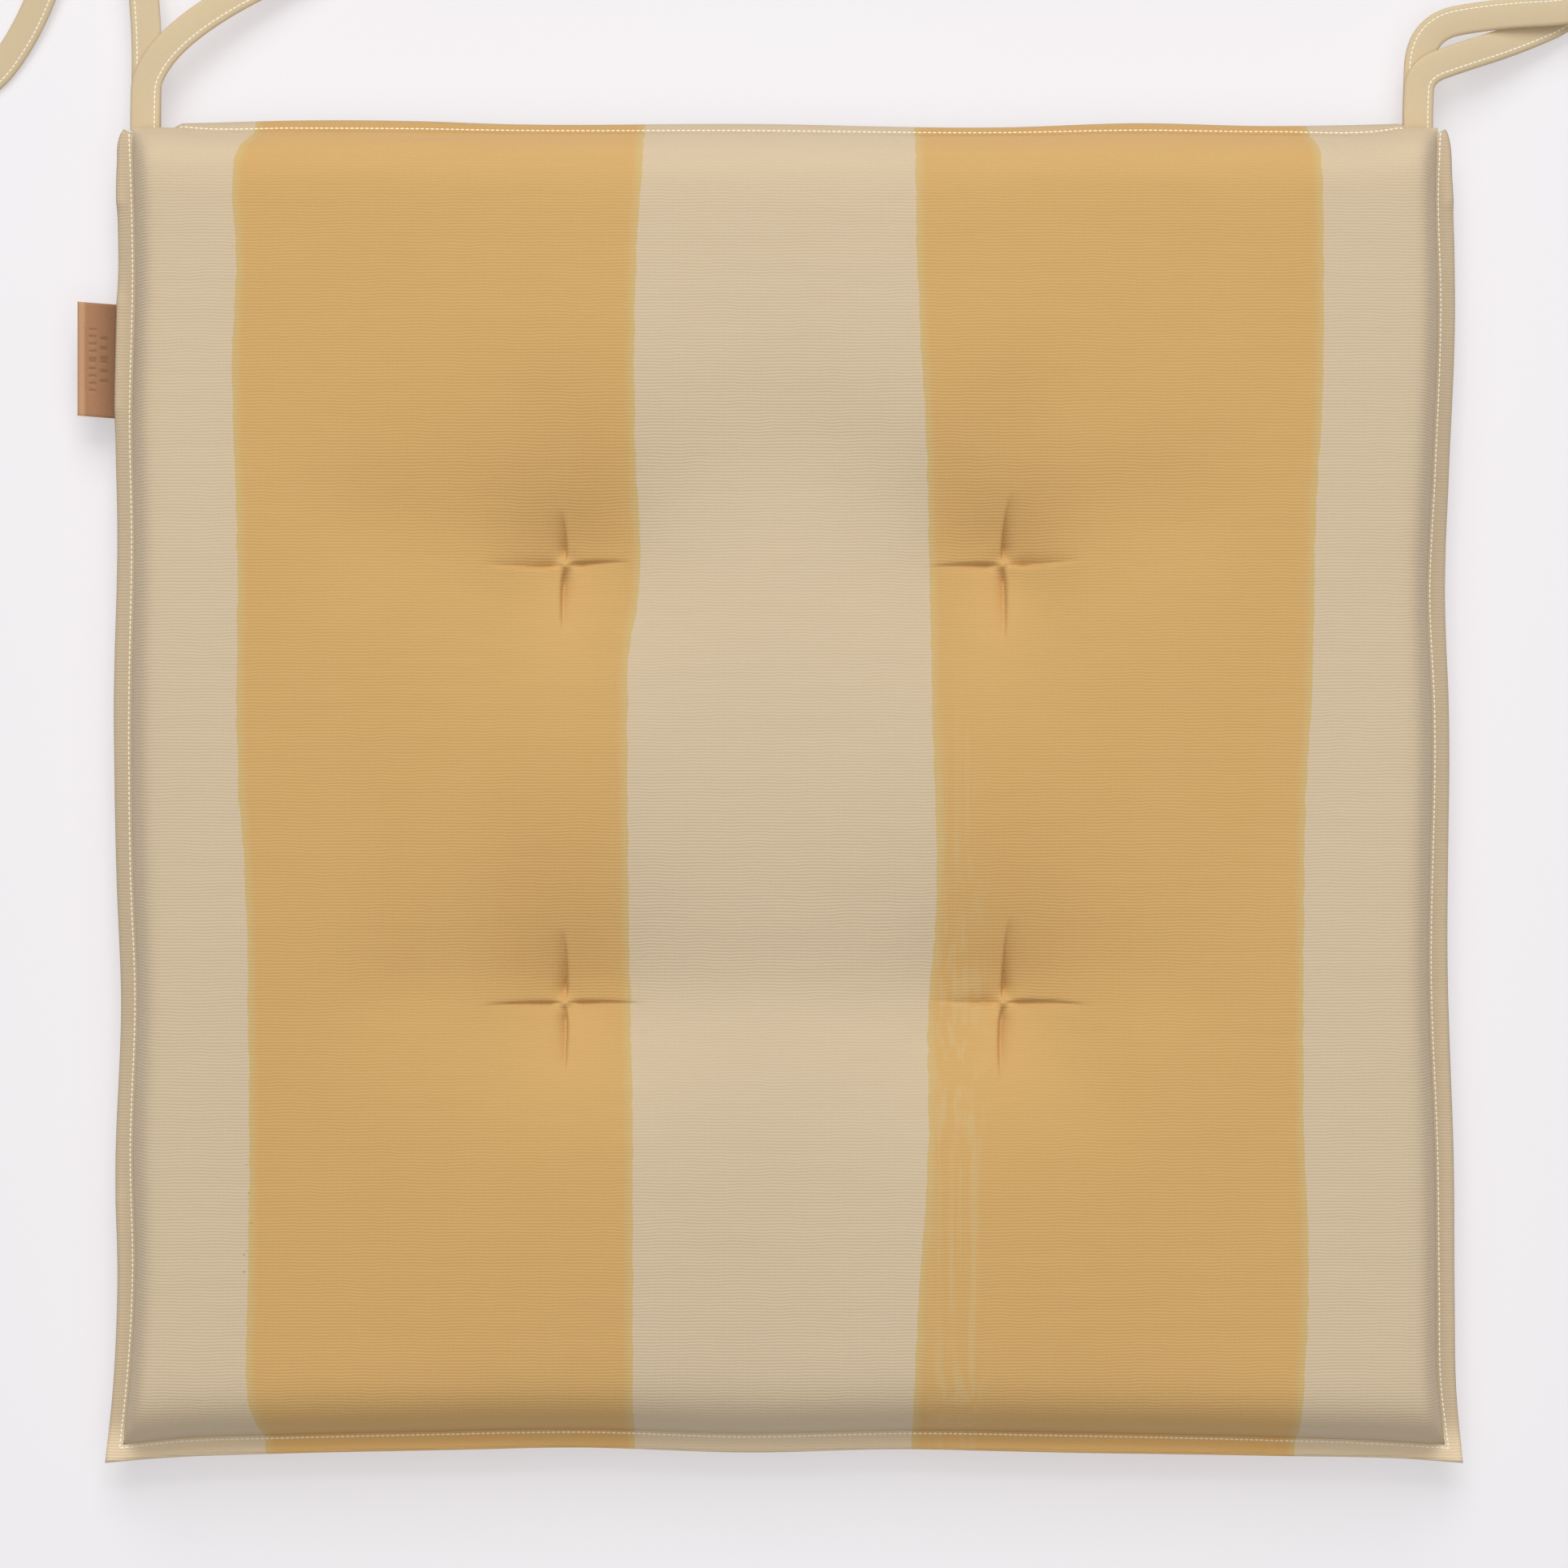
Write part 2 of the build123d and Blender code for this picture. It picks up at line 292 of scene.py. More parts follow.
def bump(material, height, strength, distance):
    node = add(material, "ShaderNodeBump")
    node.inputs["Strength"].default_value = strength
    node.inputs["Distance"].default_value = distance
    wire(material, (node, "Height"), height)
    shader = material.node_tree.nodes["Principled BSDF"]
    wire(material, (shader, "Normal"), node)


def object_axes(material):
    place = add(material, "ShaderNodeTexCoord").outputs["Object"]
    split = add(material, "ShaderNodeSeparateXYZ")
    wire(material, (split, 0), place)
    return place, split.outputs[0], split.outputs[1]


def linear(red, green, blue):
    """A display colour, 0 to 255, as the linear colour that a shader takes."""
    channels = [c / 255 for c in (red, green, blue)]
    return tuple(c / 12.92 if c <= 0.04045 else ((c + 0.055) / 1.055) ** 2.4 for c in channels) + (1.0,)


CANVAS = linear(208, 188, 158)
OCHRE = linear(207, 165, 104)
OLIVE_EDGE = linear(204, 175, 118)
THREAD_COLOUR = linear(255, 250, 232)
TIE_COLOUR = linear(210, 190, 156)
THIN_PAINT = linear(206, 182, 132)
SPECK = linear(120, 100, 76)
LEATHER = linear(166, 122, 88)
# A painted highlight for the label's rounded fold, and painted shade for its root under the flange
LEATHER_PAINTED_HIGHLIGHT = linear(192, 148, 112)
LEATHER_PAINTED_SHADE = linear(128, 90, 62)
# Across the label, in metres: the painted highlight fades out over the first span in from the fold, and the
# painted shade deepens over the second towards the root
PAINTED_HIGHLIGHT_SPAN = (-209.6 * MM, -208.4 * MM)
PAINTED_SHADE_SPAN = (-208.4 * MM, -198.5 * MM)
WEAVE_PITCH = 0.9 * MM
WARP_PITCH = 0.7 * WEAVE_PITCH

# The painted stripes' four edges: distance back along the pad and distance to the right, mm
STRIPE_EDGES = {
    "first_left": [
        (-200, -154.5), (-175, -158.5), (-150, -158), (-105, -157.5), (-32, -158.5), (10, -161),
        (65, -161), (125, -162.5), (154, -161.5), (178, -162.5), (189, -161), (196, -158),
    ],
    "first_right": [
        (-200, -44.5), (-130, -44.5), (-105, -44.5), (-64, -45.5), (-20, -46), (33, -46), (67, -42.5),
        (89, -43.5), (137, -44), (196, -41.5),
    ],
    "second_left": [
        (-200, 38), (-154, 39.5), (-103, 42.5), (-71, 42.5), (-32, 45), (28, 43.5), (67, 43),
        (101, 42), (161, 39), (196, 39),
    ],
    "second_right": [
        (-200, 152.5), (-142, 154.5), (-98, 153), (-45, 153), (-8, 153.5), (28, 155.5),
        (76, 156.5), (113, 158.5), (147, 159), (186, 158.5), (196, 156.5),
    ],
}
CURVE_SPAN = 210 * MM
CURVE_SWING = 8 * MM
STRIPE_WOBBLE = 1.6 * MM
PAINT_EDGE = 0.25 * MM
OLIVE_BORDER = (0.5 * MM, 3.2 * MM)
# Painted light on the flange along the front seam: the span back along the pad over which it fades out
PAINTED_LIGHT_FRONT = (-199 * MM, -188 * MM)
# Where the second stripe is brushed thin: it starts, ends and fades out towards the back
THIN_START = (41 * MM, 47 * MM)
THIN_END = (54 * MM, 62 * MM)
THIN_BACK = (-60 * MM, 60 * MM)
THIN_SHARE = 0.45
# Where a few small dark specks lie: along the first stripe's left edge, near the front
SPECK_LINE = -158 * MM
SPECK_REACH = 1.4 * MM
SPECK_BACK = (-115 * MM, -95 * MM)


def stripe_edge(material, points, across, along, wobble):
    """How far right of a stripe's painted edge a point lies, in metres."""
    middle = sum(p[1] for p in points) / len(points)
    share = add(material, "ShaderNodeMapRange")
    wire(material, (share, "Value"), along)
    share.inputs["From Min"].default_value = -CURVE_SPAN
    share.inputs["From Max"].default_value = CURVE_SPAN
    curve = add(material, "ShaderNodeFloatCurve")
    line = curve.mapping.curves[0]
    spots = []
    for along_edge, edge in points:
        swing = (edge - middle) * MM / (2 * CURVE_SWING)
        spots.append((0.5 + along_edge * MM / (2 * CURVE_SPAN), 0.5 + swing))
    line.points[0].location = (0, spots[0][1])
    line.points[1].location = (1, spots[-1][1])
    for spot in spots:
        line.points.new(*spot)
    curve.mapping.update()
    wire(material, (curve, "Value"), share)
    bent = calc(material, "MULTIPLY_ADD", curve, 2 * CURVE_SWING, middle * MM - CURVE_SWING)
    return calc(material, "ADD", calc(material, "SUBTRACT", across, bent), wobble)


def step_up(material, value, low, high):
    node = add(material, "ShaderNodeMapRange", interpolation_type="SMOOTHSTEP")
    wire(material, (node, "Value"), value)
    node.inputs["From Min"].default_value = low
    node.inputs["From Max"].default_value = high
    return node


def step_down(material, value, low, high):
    return calc(material, "SUBTRACT", 1.0, step_up(material, value, low, high))


def product(material, first, *others):
    for other in others:
        first = calc(material, "MULTIPLY", first, other)
    return first


def weave(material, across, along, place):
    """Height of a fine canvas rib: strong weft lines, faint warp lines, uneven yarn."""
    drift = calc(material, "MULTIPLY", noise(material, place, 90, 2), 1.2 * MM)
    place_in_rib = calc(material, "ADD", along, drift)
    weft = calc(material, "SINE", calc(material, "MULTIPLY", place_in_rib, 2 * math.pi / WEAVE_PITCH))
    warp = calc(material, "SINE", calc(material, "MULTIPLY", across, 2 * math.pi / WARP_PITCH))
    yarn = noise(material, place, 900, 2, 0.6, (0.25, 1, 1))
    both = calc(material, "MULTIPLY_ADD", warp, 0.3, weft)
    return calc(material, "MULTIPLY_ADD", yarn, 1.6, both)


def painted_areas(material, place, across, along):
    """Two shares for the stripes: inside their edges, and in past their olive borders."""
    rough_edge = calc(material, "SUBTRACT", noise(material, place, 300, 3, 0.65, (1, 0.5, 1)), 0.5)
    wobble = calc(material, "MULTIPLY", rough_edge, STRIPE_WOBBLE)
    inside, full = [], []
    for stripe in ("first", "second"):
        left = stripe_edge(material, STRIPE_EDGES[f"{stripe}_left"], across, along, wobble)
        right = stripe_edge(material, STRIPE_EDGES[f"{stripe}_right"], across, along, wobble)
        depth = calc(material, "MINIMUM", left, calc(material, "MULTIPLY", right, -1.0))
        inside.append(step_up(material, depth, -PAINT_EDGE, PAINT_EDGE))
        full.append(step_up(material, depth, *OLIVE_BORDER))
    return calc(material, "MAXIMUM", *inside), calc(material, "MAXIMUM", *full)


def thin_brushing(material, place, across, along):
    """Share of the fine streaks where the second stripe's paint is brushed thin."""
    streaks = step_up(material, noise(material, place, 420, 2, 0.5, (1, 0.012, 1)), 0.42, 0.66)
    start = step_up(material, across, *THIN_START)
    end = step_down(material, across, *THIN_END)
    back = step_down(material, along, *THIN_BACK)
    return product(material, streaks, product(material, start, end, back), THIN_SHARE)


def speck_share(material, place, across, along):
    """Share of the few dark specks along the first stripe's left edge."""
    specks = step_up(material, noise(material, place, 700, 1, 0.5), 0.73, 0.78)
    beside = calc(material, "COMPARE", across, SPECK_LINE, SPECK_REACH)
    near_front = step_down(material, along, *SPECK_BACK)
    return product(material, specks, product(material, beside, near_front), 0.6)


def striped_colour(material, place, across, along):
    painted, full = painted_areas(material, place, across, along)
    paint = mix(material, full, OLIVE_EDGE, OCHRE)
    brush = noise(material, place, 26, 3, 0.6, (2.2, 0.25, 1))
    paint = mix(material, calc(material, "MULTIPLY", brush, 0.25), paint, OLIVE_EDGE)
    paint = mix(material, thin_brushing(material, place, across, along), paint, THIN_PAINT)
    colour = mix(material, painted, CANVAS, paint)
    return mix(material, speck_share(material, place, across, along), colour, SPECK)


def canvas_material(name, striped, shade=1.0, painted_front_light=1.0):
    """The pad's canvas; shade darkens all of it as painted shade, and the front factor lightens the part
    along the front seam as painted light against the pad's shadow.
    """
    material = new_material(name, 0.92, sheen=0.08)
    shader = material.node_tree.nodes["Principled BSDF"]
    place, across, along = object_axes(material)
    slow = noise(material, place, 9, 2)
    streak = noise(material, place, 240, 3, 0.6, (0.12, 1, 1))
    tint = calc(material, "MULTIPLY_ADD", slow, 0.05, 0.975)
    tint = calc(material, "MULTIPLY_ADD", streak, 0.06, calc(material, "SUBTRACT", tint, 0.03))
    # Painted light along the front seam and painted shade elsewhere; both are 1 on the unpainted canvases
    front = step_down(material, along, *PAINTED_LIGHT_FRONT)
    painted_light_and_shade = calc(material, "MULTIPLY_ADD", front, painted_front_light - shade, shade)
    tint = calc(material, "MULTIPLY", tint, painted_light_and_shade)
    colour = striped_colour(material, place, across, along) if striped else CANVAS
    wire(material, (shader, "Base Color"), mix(material, 1.0, colour, tint, "MULTIPLY"))
    bump(material, weave(material, across, along, place), 0.35, 0.1 * MM)
    return material


def plain_material(name, colour, roughness, grain, grain_scale, distance=0.1):
    material = new_material(name, roughness, sheen=0.05)
    shader = material.node_tree.nodes["Principled BSDF"]
    place = object_axes(material)[0]
    speckle = noise(material, place, grain_scale, 3, 0.6)
    share = calc(material, "MULTIPLY_ADD", speckle, grain, 1 - grain / 2)
    wire(material, (shader, "Base Color"), mix(material, 1.0, colour, share, "MULTIPLY"))
    bump(material, speckle, 0.4, distance * MM)
    return material


def leather_material(name, shade):
    """Smooth tan leather, with a painted highlight along its rounded fold and painted shade in under the
    flange.
    """
    material = new_material(name, 0.55)
    shader = material.node_tree.nodes["Principled BSDF"]
    place, across = object_axes(material)[:2]
    grain = noise(material, place, 1100, 3, 0.6)
    # Painted highlight at the fold, and painted shade deepening towards the root under the flange
    colour = mix(material, step_up(material, across, *PAINTED_HIGHLIGHT_SPAN), LEATHER_PAINTED_HIGHLIGHT, LEATHER)
    colour = mix(material, step_up(material, across, *PAINTED_SHADE_SPAN), colour, LEATHER_PAINTED_SHADE)
    tint = calc(material, "MULTIPLY_ADD", grain, 0.16 * shade, 0.92 * shade)
    wire(material, (shader, "Base Color"), mix(material, 1.0, colour, tint, "MULTIPLY"))
    bump(material, grain, 0.4, 0.15 * MM)
    return material


def floor_material():
    material = new_material("floor_white", 0.9)
    shader = material.node_tree.nodes["Principled BSDF"]
    shader.inputs["Base Color"].default_value = linear(180, 178, 181)
    shader.inputs["Emission Color"].default_value = linear(246, 244, 247)
    shader.inputs["Emission Strength"].default_value = 0.46
    return material


striped_canvas = canvas_material("striped_canvas", True)
# The flange's copy of the canvas: painted shade over all of it, and painted light along the front seam where
# the pad shades it
flange_canvas = canvas_material("flange_canvas", True, 0.93, 1.28)
plain_canvas = canvas_material("plain_canvas", False)
thread = plain_material("sewing_thread", THREAD_COLOUR, 0.7, 0.1, 3000)
tie_canvas = plain_material("tie_canvas", TIE_COLOUR, 0.9, 0.08, 1400)
leather = leather_material("label_leather", 1.0)
pressed_leather = leather_material("label_pressed_leather", 0.78)
foam = plain_material("foam", linear(236, 228, 200), 0.9, 0.1, 900)
wadding = plain_material("wadding", linear(240, 240, 236), 0.95, 0.1, 500)

# ---------------------------------------------------------------------------------------
# The stuffed top: a cloth panel, blown up between its seam and its tufts

CELLS = 99
INNER_WIDTH = 390 * MM
EDGE_CROWDING = 0.6
SIDE_SHOULDER = 6.5 * MM
END_SHOULDER = 17 * MM
TUFT_PULL_Z = 24.6 * MM
SIM_FRAMES = 24
PULL_FRAMES = 14
PRESSURE = 90
FILLING_HOLD = 0.5
FILLING_STIFFNESS = 0.2
CLOTH_QUALITY = 8
CLOTH_MASS = 0.002
CLOTH_STRETCH = 16
CLOTH_SHEAR = 8
CLOTH_BEND = 4
CLOTH_DAMPING = 12
CROWN = 4.5 * MM
SETTLE_PASSES = 6
SETTLE_SHARE = 0.8
UNSETTLED_REACH = 11 * MM
TUFT_LINES = (1 / 3, 2 / 3)
# Spacing of the finest grid beside the tufts' lines, near them or the seam, and elsewhere, mm
FINE_STEP, MIDDLE_STEP, WIDE_STEP = 0.35, 0.8, 1.7
FINE_REACH, MIDDLE_REACH = 3.5, 12
SHORTEST_STEP = 0.0006
tuft_points = []
for node in TUFTS:
    low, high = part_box(node)
    tuft_points.append(((low[0] + high[0]) / 2, (low[1] + high[1]) / 2))


def rise(distance, shoulder):
    """How much of its full height the stuffed body has at a distance inside the seam."""
    share = np.clip(distance / shoulder, 0, 1)
    return np.sqrt(1 - (1 - share) ** 2)


# Broad shallow valleys in the filling: start x, y, end x, y, backward bow, depth and half width, mm
VALLEYS = [
    (-65, 65, 65, 65, 30, 5.6, 22), (-65, -65, 65, -65, 4, 4.6, 19), (-118, 74, -65, 65, 2, 4.4, 19),
    (65, 65, 118, 78, 2, 3.8, 17), (-112, -60, -65, -65, 2, 4.2, 18), (65, -65, 108, -58, 2, 3.4, 17),
    (-65, 65, -66, 104, 0, 4.4, 13), (65, 65, 64, 106, 0, 4.8, 13), (-65, -65, -66, -30, 0, 3.8, 12),
    (65, -65, 66, -26, 0, 3.8, 12), (65, 65, 102, 86, 0, 3.8, 9), (-65, -65, -42, -84, 0, 2.4, 8),
    (65, -65, 96, -92, 0, 2.6, 9), (-65, 65, -64, 24, 0, 1.8, 10), (65, 65, 65, 26, 0, 1.8, 10),
]


def valley_depth(plan):
    """How far the filling sinks along the valleys at each plan position."""
    total = np.zeros(plan.shape[:2])
    x, y = plan[:, :, 0] / MM, plan[:, :, 1] / MM
    for x0, y0, x1, y1, bow, depth, width in VALLEYS:
        run = math.hypot(x1 - x0, y1 - y0)
        ahead = ((x - x0) * (x1 - x0) + (y - y0) * (y1 - y0)) / run**2
        inside = np.clip(ahead, 0, 1)
        line_x = x0 + (x1 - x0) * inside
        line_y = y0 + (y1 - y0) * inside + 4 * bow * inside * (1 - inside)
        away = np.hypot(x - line_x, y - line_y)
        total = np.maximum(total, depth * np.exp(-((away / width) ** 2)))
    return total * MM


def spread(even):
    """Even steps over 0 to 1 drawn closer together towards both ends, where the cloth turns down."""
    return even - EDGE_CROWDING * np.sin(2 * np.pi * even) / (2 * np.pi)


def steps_at(shares):
    """The even steps that spread out to the given shares of the width."""
    even = np.linspace(0, 1, 2001)
    return np.interp(shares, spread(even), even)


def stuffed_grid(count, height, side_shoulder, end_shoulder):
    """A grid over one side of the pad before it is tufted: plan positions and height over the seam."""
    share = spread(np.linspace(0, 1, count))
    plan = patch(share, share)
    inside = np.minimum(share, 1 - share) * INNER_WIDTH
    lift = (height - CROWN) * rise(inside, side_shoulder)[:, None] * rise(inside, end_shoulder)[None, :]
    crown = np.sin(np.pi * share)
    lift += CROWN * crown[:, None] * crown[None, :]
    return np.concatenate([plan, lift[:, :, None]], axis=2)


def blow_up(grid):
    """Runs the cloth: the seam is held, the tufts are drawn down and the filling pushes out."""
    count = grid.shape[0]
    panel = mesh_object("panel_cloth", grid.reshape(-1, 3), grid_faces(count, count))
    pins = panel.vertex_groups.new(name="held")
    index = np.arange(count * count).reshape(count, count)
    rim = np.unique(np.concatenate([index[0], index[-1], index[:, 0], index[:, -1]]))
    pins.add(list(range(count * count)), FILLING_HOLD, "REPLACE")
    pins.add([int(i) for i in rim], 1.0, "REPLACE")
    panel.shape_key_add(name="Basis")
    pulled = panel.shape_key_add(name="pulled")
    flat = grid.reshape(-1, 3)
    for x, y in tuft_points:
        nearest = int(np.argmin((flat[:, 0] - x) ** 2 + (flat[:, 1] - y) ** 2))
        pins.add([nearest], 1.0, "REPLACE")
        pulled.data[nearest].co = (x, y, TUFT_PULL_Z)
    pulled.value = 0.0
    pulled.keyframe_insert("value", frame=1)
    pulled.value = 1.0
    pulled.keyframe_insert("value", frame=PULL_FRAMES)
    cloth = panel.modifiers.new("cloth", "CLOTH")
    settings = cloth.settings
    settings.quality = CLOTH_QUALITY
    settings.mass = CLOTH_MASS
    settings.tension_stiffness = CLOTH_STRETCH
    settings.compression_stiffness = CLOTH_STRETCH
    settings.shear_stiffness = CLOTH_SHEAR
    settings.bending_stiffness = CLOTH_BEND
    settings.tension_damping = CLOTH_DAMPING
    settings.compression_damping = CLOTH_DAMPING
    settings.shear_damping = CLOTH_DAMPING
    settings.use_pressure = True
    settings.uniform_pressure_force = PRESSURE
    settings.vertex_group_mass = "held"
    settings.pin_stiffness = FILLING_STIFFNESS
    settings.effector_weights.gravity = 0
    cloth.point_cache.frame_start = 1
    cloth.point_cache.frame_end = SIM_FRAMES
    scene = bpy.context.scene
    for number in range(1, SIM_FRAMES + 1):
        scene.frame_set(number)
    result = panel.evaluated_get(bpy.context.evaluated_depsgraph_get())
    places = np.empty(count * count * 3)
    result.data.vertices.foreach_get("co", places)
    bpy.data.objects.remove(panel)
    scene.frame_set(1)
    return places.reshape(count, count, 3)


def settle(grid):
    """Evens out the cloth's finest ripples, away from the seam and the tufts."""
    near_tuft = np.zeros(grid.shape[:2])
    for x, y in tuft_points:
        away = np.hypot(grid[:, :, 0] - x, grid[:, :, 1] - y)
        near_tuft = np.maximum(near_tuft, np.exp(-((away / UNSETTLED_REACH) ** 2)))
    ease = (SETTLE_SHARE * (1 - near_tuft))[1:-1, 1:-1, None]
    for _ in range(SETTLE_PASSES):
        around = grid[:-2, 1:-1] + grid[2:, 1:-1] + grid[1:-1, :-2] + grid[1:-1, 2:]
        grid[1:-1, 1:-1] += ease * (around / 4 - grid[1:-1, 1:-1])
    return grid


def fine_shares(centres):
    """Grid lines over 0 to 1, close together by the seam and along the lines of tufts."""
    width = INNER_WIDTH / MM
    spots, at = [0.0], 0.0
    while at < width:
        from_tufts = min(abs(at - width * c) for c in centres)
        from_seam = min(at, width - at)
        if from_tufts < FINE_REACH:
            at += FINE_STEP
        elif min(from_tufts, from_seam) < MIDDLE_REACH:
            at += MIDDLE_STEP
        else:
            at += WIDE_STEP
        spots.append(min(at, width) / width)
    if spots[-1] - spots[-2] < SHORTEST_STEP:
        spots.pop(-2)
    return np.array(spots)


def cubic_weights(shares, count):
    """Weights that read a row of count even samples at any share of its length, smoothly."""
    at = shares * (count - 1)
    base = np.clip(np.floor(at).astype(int), 0, count - 2)
    t = at - base
    weights = np.zeros((len(shares), count))
    taps = [
        (-1, -0.5 * t + t * t - 0.5 * t**3), (0, 1 - 2.5 * t * t + 1.5 * t**3),
        (1, 0.5 * t + 2 * t * t - 1.5 * t**3), (2, -0.5 * t * t + 0.5 * t**3),
    ]
    for offset, weight in taps:
        column = base + offset
        low, high = column < 0, column > count - 1
        inner = np.clip(column, 0, count - 1)
        mirror_in = np.clip(np.where(low, 1, count - 2), 0, count - 1)
        outside = low | high
        rows = np.arange(len(shares))
        np.add.at(weights, (rows, inner), np.where(outside, 2 * weight, weight))
        np.add.at(weights, (rows, mirror_in), np.where(outside, -weight, 0))
    return weights


def refine(grid, shares_u, shares_v):
    """The same surface read smoothly at other shares of its width and depth."""
    wu, wv = cubic_weights(shares_u, grid.shape[0]), cubic_weights(shares_v, grid.shape[1])
    return np.einsum("ai,ijk,bj->abk", wu, grid, wv)


# Each tuft's four creases: heading in degrees, length and sideways bow in mm
CREASES = {
    "back_left": [(180, 23, 1.2), (2, 19, 0.8), (93, 15, -0.6), (269, 20, -1.0)],
    "back_right": [(182, 22, -0.8), (3, 22, -1.0), (84, 20, 1.2), (270, 23, 0.8)],
    "front_left": [(181, 24, -0.6), (0, 23, 0.6), (91, 21, -0.8), (270, 21, 0.8)],
    "front_right": [(178, 21, 0.6), (359, 25, 1.4), (86, 25, 0.8), (268, 23, -1.3)],
}
CREASE_DEPTH = 3.2 * MM
HOLLOW_DEPTH = 3 * MM
HOLLOW_REACH = 9 * MM
CREASE_STEEP = 0.4 * MM
CREASE_SOFT = 1.9 * MM
# A crease opens within a few millimetres of its tuft, tapers to its end, and is deeper front to back
CREASE_START = 0.2
CREASE_OPENING = 4
CREASE_TAPER = 0.8
CREASE_LENGTHWAYS = 0.6


def press_creases(grid):
    """Widens each tuft's hollow and pinches the sharp folds that run out from it."""
    for node, (cx, cy) in zip(TUFTS, tuft_points):
        name = node.replace("tuft_thread_", "")
        away = np.hypot(grid[:, :, 0] - cx, grid[:, :, 1] - cy) / HOLLOW_REACH
        grid[:, :, 2] -= HOLLOW_DEPTH * away * np.exp(1 - away)
        for heading, length, bow in CREASES[name]:
            angle = math.radians(heading)
            dx, dy = grid[:, :, 0] - cx, grid[:, :, 1] - cy
            run = (dx * math.cos(angle) + dy * math.sin(angle)) / (length * MM)
            aside = -dx * math.sin(angle) + dy * math.cos(angle)
            aside = aside - 2 * bow * MM * run * (1 - run)
            opening = np.clip(run * length / CREASE_OPENING - CREASE_START, 0, 1)
            fade = opening * np.clip(1 - run, 0, 1) ** CREASE_TAPER
            depth = CREASE_DEPTH * (1 + CREASE_LENGTHWAYS * abs(math.sin(angle)))
            width = np.where(aside * bow > 0, CREASE_STEEP, CREASE_SOFT)
            grid[:, :, 2] -= depth * fade * np.exp(-np.abs(aside) / width)
    return grid


def top_surface():
    coarse = stuffed_grid(CELLS + 1, CROWN_Z - SEAM_Z, SIDE_SHOULDER, END_SHOULDER)
    coarse[:, :, 2] += SEAM_Z - valley_depth(coarse)
    coarse = settle(blow_up(coarse))
    steps = steps_at(fine_shares(TUFT_LINES))
    return coarse, press_creases(refine(coarse, steps, steps))


BASE_CELLS = 120
BASE_SHOULDER = 26 * MM
BASE_DIMPLE = 3 * MM
BASE_DIMPLE_REACH = 7 * MM
BASE_DIMPLE_SHARPNESS = 1.3


def bottom_surface():
    """The underside: flat where it rests, rounded up to the seam and dimpled at the tufts."""
    grid = stuffed_grid(BASE_CELLS + 1, SEAM_Z, BASE_SHOULDER, BASE_SHOULDER)
    grid[:, :, 2] = SEAM_Z - np.minimum(grid[:, :, 2], SEAM_Z)
    for x, y in tuft_points:
        away = np.hypot(grid[:, :, 0] - x, grid[:, :, 1] - y)
        grid[:, :, 2] += BASE_DIMPLE * np.exp(-((away / BASE_DIMPLE_REACH) ** BASE_DIMPLE_SHARPNESS))
    return grid


coarse_top, fine_top = top_surface()
rows, columns = fine_top.shape[:2]
top_cover = mesh_object("top_cover", fine_top.reshape(-1, 3), grid_faces(rows, columns))
dress(top_cover, striped_canvas)
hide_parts("top_panel")

under = bottom_surface()
bottom_cover = mesh_object("bottom_cover", under.reshape(-1, 3), grid_faces(*under.shape[:2], flip=True))
dress(bottom_cover, plain_canvas)
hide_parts("bottom_panel")

# ---------------------------------------------------------------------------------------
# The sewn flange and its topstitching

FLANGE_STATIONS = [-0.35, 0.0, 0.25, 0.5, 0.75, 1.0]
FLANGE_UNDERLAP = 1.6 * MM
FLANGE_NOSE = 0.8
BACK_LINE = 190 * MM
FOLD_ALONG_BACK = (200 * MM, 24 * MM)
FOLD_ALONG_SIDES = (197 * MM, 32 * MM)
FLAT_OVER_LABEL = (126 * MM, 30 * MM)
LABEL_FLATTENING = 0.9 * MM
TUCK_LEFT, TUCK_RIGHT, TUCK_RUN = -180 * MM, 184 * MM, 5 * MM
TUCK_LINE = 195 * MM
TUCK_IN = 3.4 * MM
TUCK_DOWN = 2.2 * MM
STITCH_LENGTH = 1.5 * MM


def flange_section(stitch, rim, length):
    """Middle line of the flange at one place: in from the stitches, out and down to its rim."""
    out = np.hypot(*(rim - stitch))
    drop = math.sqrt(max(length**2 - out**2, 0.0))
    shares = np.array(FLANGE_STATIONS)
    across = shares * out
    fall = drop * np.clip(shares, 0, 1) ** 1.5
    across[0] = -FLANGE_UNDERLAP
    return across, SEAM_Z - fall


def near(value, centre, reach):
    """1 at the centre, falling smoothly to 0 at reach."""
    t = max(0.0, 1 - abs(value - centre) / reach)
    return t * t * (3 - 2 * t)


def flange_length(x, y):
    """The flange is folded away at the back corners, and lies out flat over the label."""
    folded_away = FLANGE_LENGTH - FOLDED_FLANGE
    if y > BACK_LINE:
        return FOLDED_FLANGE + folded_away * (1 - near(abs(x), *FOLD_ALONG_BACK))
    if x < 0 and abs(y - FLAT_OVER_LABEL[0]) < FLAT_OVER_LABEL[1]:
        return FLANGE_LENGTH - LABEL_FLATTENING * near(y, *FLAT_OVER_LABEL)
    if y > FOLD_ALONG_SIDES[0] - FOLD_ALONG_SIDES[1]:
        return FLANGE_LENGTH - folded_away * near(y, *FOLD_ALONG_SIDES)
    return FLANGE_LENGTH


def tuck_under(x, y):
    """0 to 1: how far the back flange is folded in beneath the cover, beside each back corner."""
    if y <= TUCK_LINE:
        return 0.0
    start = TUCK_LEFT if x < 0 else TUCK_RIGHT
    return float(np.clip((x - start) / math.copysign(TUCK_RUN, x), 0, 1))


